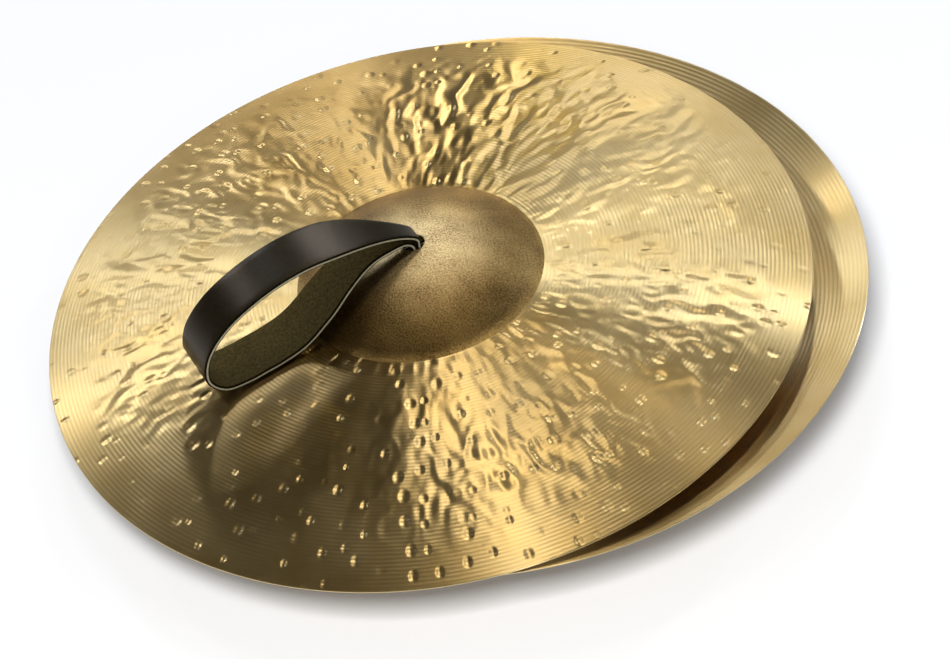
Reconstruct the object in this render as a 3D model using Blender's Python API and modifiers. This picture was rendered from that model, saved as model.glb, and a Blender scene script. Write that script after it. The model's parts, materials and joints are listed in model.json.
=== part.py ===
"""Pair of clash cymbals lying inside to inside, with their leather hand straps.

The lower cymbal stands bell down on its folded strap. The upper one lies on it bell up, shifted to the left,
so that the two rims cross at the front and back and the lower's left rim carries the upper's bow.
Metres, +Z up. The origin is on the table under the middle of the pair, and -Y is the side of the viewer.

A plate and its strap are built in the plate's own frame: the rim lies in its plane z = 0 and the bell is up.
A strap is drawn in a side view, by its distance from the hole and its height above the bell's top.
"""
import math

import bmesh
import bpy
from mathutils import Matrix, Vector

COLLECTION_NAME = "clash_cymbals"
GAP = 0.0003

# Plates
PLATE_RADIUS = 0.2286
BELL_RADIUS = 0.0736
BOW_HEIGHT = 0.0275
BELL_HEIGHT = 0.0255
BOW_CURVE_POWER = 2.1
PLATE_THICKNESS = 0.0013
EDGE_THICKNESS = 0.0009
EDGE_TAPER_WIDTH = 0.035
HOLE_RADIUS = 0.0070
PLATE_SEGMENTS = 96
BELL_STEPS = 5
BOW_STEPS = 9

# How the pair lies
PAIR_OFFSET = 0.0315
RIM_CONTACT_GAP = 0.0004

# Straps
STRAP_THICKNESS = 0.0030
STRAP_WIDTH = 0.0340
STRAP_TAPER_LENGTH = 0.070
NECK_CLEARANCE = 0.0004
NECK_CORNER_RADIUS = 0.0006
LYING_CLEARANCE = 0.0004
UPPER_STRAP_ANGLE = math.radians(196.8)
LOWER_STRAP_ANGLE = math.radians(180.0)
LOOP_STEPS = 4
ROOT_STEPS = 4

# The upper loop rises from the hole and leans to the viewer's side as it goes out
UPPER_ROOT_DIRECTION = math.radians(50.0)
UPPER_LOOP_DRIFT = 0.006
DRIFT_START = 0.030
DRIFT_LENGTH = 0.090
UPPER_LOOP_REACH = 0.1425
UPPER_LOOP_RISE = 0.0335
UPPER_LOOP_ARCH = 0.0092
# Lower band, outwards: share of the reach, share of the arch's clearance over the plate
UPPER_LOOP_ARCH_SHAPE = ((0.10, 0.65), (0.21, 1.0), (0.33, 0.92), (0.45, 0.70), (0.57, 0.32))
UPPER_LOOP_LYING = (0.69, 0.76, 0.83)
# Bend at the far end: share of the reach, height over the plate as a share of the rise
UPPER_LOOP_BEND = ((0.94, 0.12), (1.0, 0.48))
# Upper band, inwards: share of the reach, share of the rise over the bell's top
UPPER_LOOP_TOP = (
    (0.98, 0.09), (0.877, 0.567), (0.71, 0.895), (0.527, 1.0), (0.337, 0.895), (0.175, 0.663),
    (0.049, 0.373),
)

# The lower loop is squeezed flat between the table and the plate that it carries
LOWER_ROOT_DIRECTION = 0.0
LOWER_LOOP_REACH = 0.1400
LOWER_LOOP_SLACK = 0.0048
# Band on the plate, outwards: share of the reach, share of the slack between it and the plate
LOWER_LOOP_SLACK_SHAPE = ((0.115, 0.17), (0.23, 0.25), (0.357, 0.50), (0.486, 1.0), (0.614, 0.54))
LOWER_LOOP_LYING = (0.72, 0.785, 0.85)
# Bend at the far end: share of the reach, share of the way from the plate to the table
LOWER_LOOP_BEND = ((0.95, 0.135), (1.0, 0.48), (0.98, 0.79))
# Band on the table, inwards: share of the reach
LOWER_LOOP_FLAT = (0.857, 0.679, 0.50, 0.321, 0.143, 0.043)

# Knot of four tails inside the bell
TAIL_WIDTH = 0.0090
TAIL_THICKNESS = 0.0026
TAIL_LAYER_GAP = 0.0004
TAIL_CENTRE_ROOM = 0.0025
TAIL_FOLD_ROOM = 0.0010
TAIL_RAMP_INSET = 0.0005
TAIL_REACH = 0.053
TAIL_REACH_SHARES = (0.945, 0.87, 1.0, 0.905)
TAIL_WALL_STEPS = 6
FOLD_STEPS = 5

PLATE_TOP = BOW_HEIGHT + BELL_HEIGHT + PLATE_THICKNESS
ROOT_RADIUS = (STRAP_THICKNESS + GAP) / 2
PIVOT_HEIGHT = GAP + STRAP_THICKNESS / 2 + ROOT_RADIUS
TABLE_HEIGHT = PIVOT_HEIGHT + ROOT_RADIUS + STRAP_THICKNESS / 2


def bell_ball_radius():
    """Radius of the ball that the bell's inner face is a cap of."""
    return (BELL_RADIUS ** 2 + BELL_HEIGHT ** 2) / (2 * BELL_HEIGHT)


def inner_height(radius):
    """Height of a plate's inner face over its rim plane."""
    if radius <= BELL_RADIUS:
        ball = bell_ball_radius()
        return BOW_HEIGHT + BELL_HEIGHT - ball + math.sqrt(ball ** 2 - radius ** 2)
    share = min(1.0, (radius - BELL_RADIUS) / (PLATE_RADIUS - BELL_RADIUS))
    return BOW_HEIGHT * (1 - share ** BOW_CURVE_POWER)


def inner_slope(radius):
    """How steeply a plate's inner face falls outwards."""
    if radius <= BELL_RADIUS:
        return radius / math.sqrt(bell_ball_radius() ** 2 - radius ** 2)
    bow_width = PLATE_RADIUS - BELL_RADIUS
    share = min(1.0, (radius - BELL_RADIUS) / bow_width)
    return BOW_HEIGHT / bow_width * BOW_CURVE_POWER * share ** (BOW_CURVE_POWER - 1)


def plate_thickness(radius):
    """Thickness of a plate, which thins towards its edge."""
    share = min(1.0, (PLATE_RADIUS - radius) / EDGE_TAPER_WIDTH)
    return EDGE_THICKNESS + (PLATE_THICKNESS - EDGE_THICKNESS) * share


def outside_drop(radius):
    """Depth of a plate's outside under the bell's top."""
    return PLATE_TOP - inner_height(radius) - plate_thickness(radius)


def inside_drop(radius):
    """Depth of a plate's inside under the bell's top."""
    return PLATE_TOP - inner_height(radius)


def pair_tilt():
    """Tilt at which the upper plate's bow comes down on the lower's left rim, and the upper's lift."""
    low = 0.0
    high = math.radians(12.0)
    for _ in range(50):
        tilt = (low + high) / 2
        lift = RIM_CONTACT_GAP - PAIR_OFFSET / 2 * math.sin(tilt)
        reach = PLATE_RADIUS - PAIR_OFFSET
        contact_radius = reach * math.cos(tilt) + lift * math.sin(tilt)
        contact_height = reach * math.sin(tilt) - lift * math.cos(tilt)
        if inner_height(contact_radius) - contact_height > RIM_CONTACT_GAP:
            low = tilt
        else:
            high = tilt
    return tilt, lift


def new_material(name, colour, roughness, metallic):
    """Principled material of one sub-part."""
    material = bpy.data.materials.new(name)
    material.use_nodes = True
    shader = material.node_tree.nodes["Principled BSDF"]
    shader.inputs["Base Color"].default_value = (*colour, 1.0)
    shader.inputs["Roughness"].default_value = roughness
    shader.inputs["Metallic"].default_value = metallic
    return material


def new_collection(name):
    """Collection linked to the scene."""
    collection = bpy.data.collections.new(name)
    bpy.context.scene.collection.children.link(collection)
    return collection


def new_empty(name, collection, parent, matrix):
    """Empty that places what is parented to it."""
    empty = bpy.data.objects.new(name, None)
    collection.objects.link(empty)
    empty.parent = parent
    empty.matrix_local = matrix
    return empty


def new_part(name, mesh, collection, parent, material, matrix=Matrix()):
    """Object of one sub-part, with its own material."""
    part = bpy.data.objects.new(name, mesh)
    collection.objects.link(part)
    part.parent = parent
    part.matrix_local = matrix
    mesh.materials.append(material)
    return part


def smooth_ring(points, steps):
    """Points of a smooth closed line through the given ones, with so many steps between two of them."""
    count = len(points)
    line = []
    for index in range(count):
        four = [points[(index + shift) % count] for shift in (-1, 0, 1, 2)]
        knots = [0.0]
        for first, second in zip(four, four[1:]):
            knots.append(knots[-1] + max(math.sqrt((second - first).length), 1e-4))
        for step in range(steps):
            place = knots[1] + (knots[2] - knots[1]) * step / steps
            row = four
            for level in (1, 2, 3):
                row = blend_row(row, knots, place, level)
            line.append(row[0])
    return line


def blend_row(row, knots, place, level):
    """One level of the pyramid that gives a point on a smooth line."""
    result = []
    for index in range(len(row) - 1):
        if level == 3:
            start, end = knots[1], knots[2]
        else:
            start, end = knots[index], knots[index + level]
        share = (place - start) / (end - start)
        result.append(row[index].lerp(row[index + 1], share))
    return result


def ribbon_mesh(name, line, widths, closed):
    """Open strip of leather: a flat curve, extruded to each point's width and stood up in its side view."""
    widest = max(widths)
    curve = bpy.data.curves.new(name, "CURVE")
    curve.dimensions = "2D"
    curve.fill_mode = "NONE"
    curve.extrude = widest / 2
    spline = curve.splines.new("POLY")
    spline.points.add(len(line) - 1)
    for point, place, width in zip(spline.points, line, widths):
        point.co = (place.x, place.y, 0.0, 1.0)
        point.radius = width / widest
    spline.use_cyclic_u = closed
    guide = bpy.data.objects.new(name, curve)
    bpy.context.scene.collection.objects.link(guide)
    graph = bpy.context.evaluated_depsgraph_get()
    mesh = bpy.data.meshes.new_from_object(guide.evaluated_get(graph))
    bpy.data.objects.remove(guide)
    bpy.data.curves.remove(curve)
    mesh.materials.clear()
    mesh.transform(Matrix.Rotation(math.radians(90), 4, "X"))
    work = bmesh.new()
    work.from_mesh(mesh)
    bmesh.ops.remove_doubles(work, verts=work.verts, dist=1e-6)
    work.to_mesh(mesh)
    work.free()
    mesh.name = name
    return mesh


def thicken(part, thickness):
    """Give a strip of leather its thickness, half to each side."""
    solidify = part.modifiers.new("leather", "SOLIDIFY")
    solidify.thickness = thickness
    solidify.offset = 0.0
    solidify.use_even_offset = True


def plate_mesh(name):
    """Profile of one plate, from the hole down the outside to the edge and back up the inside."""
    bell = [HOLE_RADIUS + (BELL_RADIUS - HOLE_RADIUS) * step / BELL_STEPS for step in range(BELL_STEPS)]
    bow = [BELL_RADIUS + (PLATE_RADIUS - BELL_RADIUS) * step / BOW_STEPS for step in range(BOW_STEPS + 1)]
    radii = bell + bow
    profile = [(radius, 0.0, inner_height(radius) + plate_thickness(radius)) for radius in radii]
    profile += [(radius, 0.0, inner_height(radius)) for radius in reversed(radii)]
    count = len(profile)
    mesh = bpy.data.meshes.new(name)
    mesh.from_pydata(profile, [(index, (index + 1) % count) for index in range(count)], [])
    return mesh


def make_plate(name, collection, frame, material):
    """Plate turned from its profile."""
    part = new_part(name, plate_mesh(name), collection, frame, material)
    screw = part.modifiers.new("lathe", "SCREW")
    screw.axis = "Z"
    screw.angle = math.tau
    screw.steps = PLATE_SEGMENTS
    screw.render_steps = PLATE_SEGMENTS
    screw.use_merge_vertices = True
    screw.merge_threshold = 1e-5
    screw.use_smooth_shade = True
    return part


def neck_width():
    """Width of the strap's two layers where they fill the hole."""
    room = HOLE_RADIUS - NECK_CLEARANCE
    half_pile = STRAP_THICKNESS + GAP / 2
    return 2 * math.sqrt(room ** 2 - half_pile ** 2)


def tail_levels():
    """Heights of the middles of the knot's three layers, the one on the bell first."""
    pitch = TAIL_THICKNESS + TAIL_LAYER_GAP
    corner = math.hypot(fold_centre() + (pitch + TAIL_THICKNESS) / 2, tail_side() + TAIL_WIDTH / 2)
    first = -inside_drop(corner) - GAP - TAIL_THICKNESS / 2
    return first, first - pitch, first - 2 * pitch


def tail_side():
    """Distance of a tail's middle line from the middle of the knot."""
    return TAIL_CENTRE_ROOM + TAIL_WIDTH / 2


def fold_centre():
    """Distance from the middle of the knot to where a tail folds back."""
    return TAIL_CENTRE_ROOM + TAIL_WIDTH + TAIL_FOLD_ROOM


def tail_line(reach):
    """Side view of one tail: out under the plate, folded back, under one tail, over the next, outwards."""
    first, second, third = tail_levels()
    fold_radius = (first - second) / 2
    line = [Vector((-GAP, first))]
    for step in range(FOLD_STEPS + 1):
        turn = math.pi * step / FOLD_STEPS
        across = -fold_centre() - fold_radius * math.sin(turn)
        line.append(Vector((across, (first + second) / 2 + fold_radius * math.cos(turn))))
    ramp = TAIL_CENTRE_ROOM - TAIL_RAMP_INSET
    line += [Vector((-ramp, second)), Vector((ramp, third))]
    start = TAIL_CENTRE_ROOM + TAIL_WIDTH
    for step in range(TAIL_WALL_STEPS + 1):
        out = start + (reach - start) * step / TAIL_WALL_STEPS
        line.append(Vector((out, min(third, wall_level(out)))))
    return line


def wall_level(out):
    """Height of the middle of a tail that lies against the bell's wall."""
    corner = math.hypot(out, tail_side() + TAIL_WIDTH / 2)
    return -inside_drop(corner) - (TAIL_THICKNESS / 2 + GAP) * math.hypot(1.0, inner_slope(corner))


def make_neck(side, collection, knot_frame, material):
    """The strap's two layers in the hole, from the knot to the mouth."""
    bottom = tail_levels()[0] + TAIL_THICKNESS / 2 + GAP
    for number, sign in ((1, 1), (2, -1)):
        name = f"{side}_strap_neck_{number}"
        mesh = bpy.data.meshes.new(name)
        work = bmesh.new()
        bmesh.ops.create_cube(work, size=1.0)
        bmesh.ops.scale(work, vec=(STRAP_THICKNESS, neck_width(), -bottom), verts=work.verts)
        work.to_mesh(mesh)
        work.free()
        place = Matrix.Translation((sign * (STRAP_THICKNESS + GAP) / 2, 0.0, bottom / 2))
        part = new_part(name, mesh, collection, knot_frame, material, place)
        bevel = part.modifiers.new("cut_corners", "BEVEL")
        bevel.width = NECK_CORNER_RADIUS
        bevel.segments = 2


def make_knot(side, collection, knot_frame, material):
    """Four tails, each turned a quarter from the one before."""
    for index, share in enumerate(TAIL_REACH_SHARES):
        name = f"{side}_knot_tail_{index + 1}"
        line = tail_line(TAIL_REACH * share)
        mesh = ribbon_mesh(name, line, [TAIL_WIDTH] * len(line), closed=False)
        mesh.transform(Matrix.Translation((0.0, tail_side(), 0.0)))
        turned = Matrix.Rotation(-index * math.pi / 2, 4, "Z")
        thicken(new_part(name, mesh, collection, knot_frame, material, turned), TAIL_THICKNESS)


def lying_point(distance, clearance):
    """Point of a strap's middle line, so far over the plate."""
    return Vector((distance, STRAP_THICKNESS / 2 + GAP + clearance - outside_drop(distance)))


def loop_root(direction):
    """Half turn of the strap round the pivot at the hole's mouth."""
    centre = Vector((0.0, PIVOT_HEIGHT))
    turns = [direction + math.pi * (0.5 + step / ROOT_STEPS) for step in range(ROOT_STEPS + 1)]
    return [centre + ROOT_RADIUS * Vector((math.cos(turn), math.sin(turn))) for turn in turns]


def upper_loop_line():
    """Middle line of the loop that stands free on the upper plate."""
    reach = UPPER_LOOP_REACH
    rise = UPPER_LOOP_RISE
    points = loop_root(UPPER_ROOT_DIRECTION)
    points += [lying_point(out * reach, height * UPPER_LOOP_ARCH) for out, height in UPPER_LOOP_ARCH_SHAPE]
    points += [lying_point(out * reach, LYING_CLEARANCE) for out in UPPER_LOOP_LYING]
    points += [lying_point(out * reach, height * rise) for out, height in UPPER_LOOP_BEND]
    points += [Vector((out * reach, height * rise)) for out, height in UPPER_LOOP_TOP]
    return smooth_ring(points, LOOP_STEPS)


def lower_loop_line():
    """Middle line of the loop that carries the pair on the table."""
    reach = LOWER_LOOP_REACH
    table = TABLE_HEIGHT - STRAP_THICKNESS / 2
    points = loop_root(LOWER_ROOT_DIRECTION)
    points += [lying_point(out * reach, height * LOWER_LOOP_SLACK) for out, height in LOWER_LOOP_SLACK_SHAPE]
    points += [lying_point(out * reach, LYING_CLEARANCE) for out in LOWER_LOOP_LYING]
    for out, share in LOWER_LOOP_BEND:
        lying = lying_point(out * reach, 0.0)
        points.append(lying.lerp(Vector((lying.x, table)), share))
    points += [Vector((out * reach, table)) for out in LOWER_LOOP_FLAT]
    return [Vector((place.x, min(place.y, table))) for place in smooth_ring(points, LOOP_STEPS)]


def ease(share):
    """Smooth step from 0 to 1."""
    share = min(1.0, max(0.0, share))
    return share * share * (3 - 2 * share)


def loop_widths(line):
    """Width at each point: narrow at the hole, full past the taper, by the length along the strap."""
    lengths = [0.0]
    for index, place in enumerate(line):
        lengths.append(lengths[-1] + (line[(index + 1) % len(line)] - place).length)
    neck = neck_width()
    widths = []
    for length in lengths[:-1]:
        run = min(length, lengths[-1] - length)
        widths.append(neck + (STRAP_WIDTH - neck) * ease(run / STRAP_TAPER_LENGTH))
    return widths


def make_loop(side, line, drift, collection, pivot, material):
    """Hand loop: one closed band of leather, pinched at its root, which turns about the pivot."""
    name = f"{side}_strap_loop"
    line = [place - Vector((0.0, PIVOT_HEIGHT)) for place in line]
    mesh = ribbon_mesh(name, line, loop_widths(line), closed=True)
    for vertex in mesh.vertices:
        vertex.co.y += drift * ease((vertex.co.x - DRIFT_START) / DRIFT_LENGTH)
    thicken(new_part(name, mesh, collection, pivot, material), STRAP_THICKNESS)


def make_cymbal(side, matrix, strap_angle, line, drift, collection, materials):
    """One cymbal: its plate, the knot and necks that turn in its hole, and its hand loop."""
    frame = new_empty(f"{side}_plate_frame", collection, None, matrix)
    make_plate(f"{side}_cymbal", collection, frame, materials["bronze"])
    hole = Matrix.Translation((0.0, 0.0, PLATE_TOP)) @ Matrix.Rotation(strap_angle, 4, "Z")
    knot_frame = new_empty(f"{side}_knot_frame", collection, frame, hole)
    make_neck(side, collection, knot_frame, materials["neck"])
    make_knot(side, collection, knot_frame, materials["tail"])
    mouth = Matrix.Translation((0.0, 0.0, PIVOT_HEIGHT))
    pivot = new_empty(f"{side}_loop_pivot", collection, knot_frame, mouth)
    make_loop(side, line, drift, collection, pivot, materials["loop"])


def main():
    """Build the pair."""
    for old in list(bpy.data.objects):
        bpy.data.objects.remove(old, do_unlink=True)
    collection = new_collection(COLLECTION_NAME)
    tilt, lift = pair_tilt()
    left = PAIR_OFFSET + PLATE_RADIUS * math.cos(tilt) + EDGE_THICKNESS * math.sin(tilt)
    lower_x = (left - PLATE_RADIUS) / 2
    rim_height = TABLE_HEIGHT + PLATE_TOP
    lower = Matrix.Translation((lower_x, 0.0, rim_height)) @ Matrix.Rotation(math.pi, 4, "X")
    upper = Matrix.Translation((lower_x - PAIR_OFFSET, 0.0, rim_height + lift))
    upper = upper @ Matrix.Rotation(-tilt, 4, "Y")
    for side, matrix, angle, line, drift in (
        ("lower", lower, LOWER_STRAP_ANGLE, lower_loop_line(), 0.0),
        ("upper", upper, UPPER_STRAP_ANGLE, upper_loop_line(), UPPER_LOOP_DRIFT),
    ):
        materials = {
            "bronze": new_material(f"{side}_bronze", (0.62, 0.42, 0.13), 0.28, 1.0),
            "loop": new_material(f"{side}_loop_leather", (0.020, 0.017, 0.014), 0.55, 0.0),
            "neck": new_material(f"{side}_neck_leather", (0.045, 0.040, 0.030), 0.80, 0.0),
            "tail": new_material(f"{side}_tail_leather", (0.035, 0.030, 0.024), 0.70, 0.0),
        }
        make_cymbal(side, matrix, angle, line, drift, collection, materials)


main()
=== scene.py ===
"""Looks of a pair of clash cymbals: hammered and lathed bronze plates with knotted leather hand straps.

Two equal plates lie inside to inside. The lower one stands bell down on its folded strap, and the upper one lies
on it bell up, shifted to the left. Metres, +Z up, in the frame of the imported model.

Each plate is turned and hammered in its own frame, with its rim in the plane z = 0 and its bell up, and each strap
is drawn in a side view with x running out from the hole and z up from the bell's top. Both are then put in place.
"""
from __future__ import annotations

import json
import logging
import math
from contextlib import contextmanager
from dataclasses import dataclass, field
from enum import Enum
from typing import Iterator, Optional, Sequence

import bpy
import numpy as np
from bpy.types import Material, Node, NodeSocket, NodeTree, Object, bpy_prop_collection
from mathutils import Matrix, Vector, noise


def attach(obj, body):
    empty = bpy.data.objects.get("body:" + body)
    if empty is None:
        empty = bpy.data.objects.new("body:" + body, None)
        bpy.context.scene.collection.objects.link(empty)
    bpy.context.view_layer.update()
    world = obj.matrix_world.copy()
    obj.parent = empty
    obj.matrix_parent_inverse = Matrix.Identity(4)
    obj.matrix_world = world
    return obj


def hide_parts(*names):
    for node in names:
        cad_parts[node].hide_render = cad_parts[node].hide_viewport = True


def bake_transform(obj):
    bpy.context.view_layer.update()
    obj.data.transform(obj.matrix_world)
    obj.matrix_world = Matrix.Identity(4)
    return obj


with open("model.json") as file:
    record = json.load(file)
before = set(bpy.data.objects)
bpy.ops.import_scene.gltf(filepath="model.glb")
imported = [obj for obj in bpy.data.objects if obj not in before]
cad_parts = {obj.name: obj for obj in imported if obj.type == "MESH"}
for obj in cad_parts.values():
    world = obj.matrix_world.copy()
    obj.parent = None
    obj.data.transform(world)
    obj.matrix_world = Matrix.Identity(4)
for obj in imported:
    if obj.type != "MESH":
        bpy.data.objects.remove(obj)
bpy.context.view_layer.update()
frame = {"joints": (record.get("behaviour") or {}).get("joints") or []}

LOG = logging.getLogger("clash_cymbals")
MERGE_DISTANCE = 1e-6
SAME_PLACE = 1e-5
SMOOTH_UNDER = math.radians(50)

# Maps of a plate: by distance and direction from its axis, for the lathe's grain, and in plan, for the rest
TURNING_MAP = "turning"
PLAN_MAP = "plan"

# Sockets of a Mix node for colours, which share their names with those for numbers
COLOUR_A, COLOUR_B, COLOUR_OUT = 6, 7, 2


class Side(Enum):
    """Which cymbal of the pair."""

    UPPER = "upper"
    LOWER = "lower"


class Face(Enum):
    """Faces of a plate, in the order of its material slots."""

    BOW = 0
    BELL = 1
    INSIDE = 2
    EDGE = 3


class Leather(Enum):
    """Faces of a strip of leather, in the order of its material slots."""

    GRAIN = 0
    FLESH = 1
    CUT = 2
    DYED = 3


def linear(colour: str) -> tuple[float, float, float, float]:
    """Turn an sRGB hex colour to linear light.

    Args:
        colour: six hex digits after a hash sign.

    Returns:
        Red, green, blue and an alpha of 1.
    """
    values = [int(colour[start:start + 2], 16) / 255 for start in (1, 3, 5)]
    red, green, blue = (v / 12.92 if v <= 0.04045 else ((v + 0.055) / 1.055) ** 2.4 for v in values)
    return red, green, blue, 1.0


def plug(tree: NodeTree, node: Node, inputs: dict) -> None:
    """Set the values of a node's sockets and make its links.

    Args:
        tree: node tree that holds the node.
        node: node whose inputs are set.
        inputs: value, output socket or node for each input, by its name or number. A node stands for its first
            output.
    """
    for key, value in inputs.items():
        socket = node.inputs[key]
        if isinstance(value, Node):
            value = value.outputs[0]
        if isinstance(value, NodeSocket):
            tree.links.new(value, socket)
        else:
            socket.default_value = value


def add_node(tree: NodeTree, kind: str, inputs: Optional[dict] = None, **settings: object) -> Node:
    """Add a node with its settings, the values of its sockets and its links.

    Args:
        tree: node tree that gets the node.
        kind: type name of the node, without the prefix that all shader nodes share.
        inputs: what goes into its inputs, as plug() takes it.
        settings: properties of the node.

    Returns:
        The new node.
    """
    node = tree.nodes.new("ShaderNode" + kind)
    for key, value in settings.items():
        setattr(node, key, value)
    plug(tree, node, inputs or {})
    return node


def new_finish(name: str) -> tuple[Material, NodeTree, Node]:
    """Start a material.

    Args:
        name: what the real material is.

    Returns:
        The material, its node tree and its Principled shader.
    """
    material = bpy.data.materials.new(name)
    material.use_nodes = True
    tree = material.node_tree
    return material, tree, tree.nodes["Principled BSDF"]


def pick(piece: Object) -> None:
    """Select one piece and nothing else, and make it the active one.

    Args:
        piece: the piece.
    """
    bpy.ops.object.select_all(action="DESELECT")
    piece.select_set(True)
    bpy.context.view_layer.objects.active = piece


@contextmanager
def editing(piece: Object) -> Iterator[None]:
    """Edit one piece's mesh, with nothing else selected.

    Args:
        piece: object whose mesh is edited.

    Yields:
        Nothing; the mesh is in edit mode until the block ends.
    """
    pick(piece)
    bpy.ops.object.mode_set(mode="EDIT")
    yield
    bpy.ops.object.mode_set(mode="OBJECT")


def start_piece(name: str, place: Sequence[float]) -> Object:
    """Start a piece as one vertex, from which its line is drawn.

    Args:
        name: the piece's name.
        place: where its first vertex lies.

    Returns:
        The new object, at the origin.
    """
    bpy.ops.object.select_all(action="DESELECT")
    bpy.ops.mesh.primitive_plane_add(size=0.001, location=place)
    piece = bpy.context.active_object
    piece.name = name
    piece.data.name = name
    bpy.ops.object.transform_apply(location=True, rotation=True, scale=True)
    with editing(piece):
        bpy.ops.mesh.select_mode(type="VERT")
        bpy.ops.mesh.select_all(action="SELECT")
        bpy.ops.mesh.merge(type="CENTER")
    return piece


def settle(piece: Object, place: Matrix) -> None:
    """Put a finished piece in place, with the place in its mesh.

    Args:
        piece: object modelled in its own frame.
        place: where that frame lies.
    """
    pick(piece)
    piece.matrix_world = place
    bpy.context.view_layer.update()
    bpy.ops.object.transform_apply(location=True, rotation=True, scale=True)


def read(items: bpy_prop_collection, name: str, kind: type, width: int = 1) -> np.ndarray:
    """Read one property of every vertex, edge, corner or face of a mesh.

    Args:
        items: the mesh's vertices, edges, corners or faces.
        name: the property.
        kind: number type of its values.
        width: how many values each item has.

    Returns:
        The values of one item after those of another.
    """
    values = np.empty(len(items) * width, kind)
    items.foreach_get(name, values)
    return values


def ease(share: float) -> float:
    """Smooth step from 0 to 1."""
    share = min(1.0, max(0.0, share))
    return share * share * (3 - 2 * share)


@dataclass(frozen=True)
class PlateShape:
    """Sizes of one plate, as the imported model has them."""

    radius: float = 0.2286
    bell_radius: float = 0.0736
    bow_height: float = 0.0275
    bell_height: float = 0.0255
    bow_curve: float = 2.1
    thickness: float = 0.0013
    edge_thickness: float = 0.0009
    edge_taper: float = 0.035
    hole_radius: float = 0.0070

    @property
    def top(self) -> float:
        """Height of the bell's outside over the rim."""
        return self.bow_height + self.bell_height + self.thickness

    @property
    def ball(self) -> float:
        """Radius of the ball that the bell's inner face is a cap of."""
        return (self.bell_radius ** 2 + self.bell_height ** 2) / (2 * self.bell_height)

    def inside(self, radius: float) -> float:
        """Find the height of the inner face over the rim.

        Args:
            radius: distance from the axis.

        Returns:
            The height there: a ball's cap in the bell, and a curve that gets steeper to the rim in the bow.
        """
        if radius <= self.bell_radius:
            return self.bow_height + self.bell_height - self.ball + math.sqrt(self.ball ** 2 - radius ** 2)
        share = min(1.0, (radius - self.bell_radius) / (self.radius - self.bell_radius))
        return self.bow_height * (1 - share ** self.bow_curve)

    def inside_slope(self, radius: float) -> float:
        """How steeply the bell's inner face falls outwards."""
        return radius / math.sqrt(self.ball ** 2 - radius ** 2)

    def wall(self, radius: float) -> float:
        """Thickness at a distance from the axis."""
        share = min(1.0, (self.radius - radius) / self.edge_taper)
        return self.edge_thickness + (self.thickness - self.edge_thickness) * share

    def outside(self, radius: float) -> float:
        """Height of the outer face over the rim, at a distance from the axis."""
        return self.inside(radius) + self.wall(radius)


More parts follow.
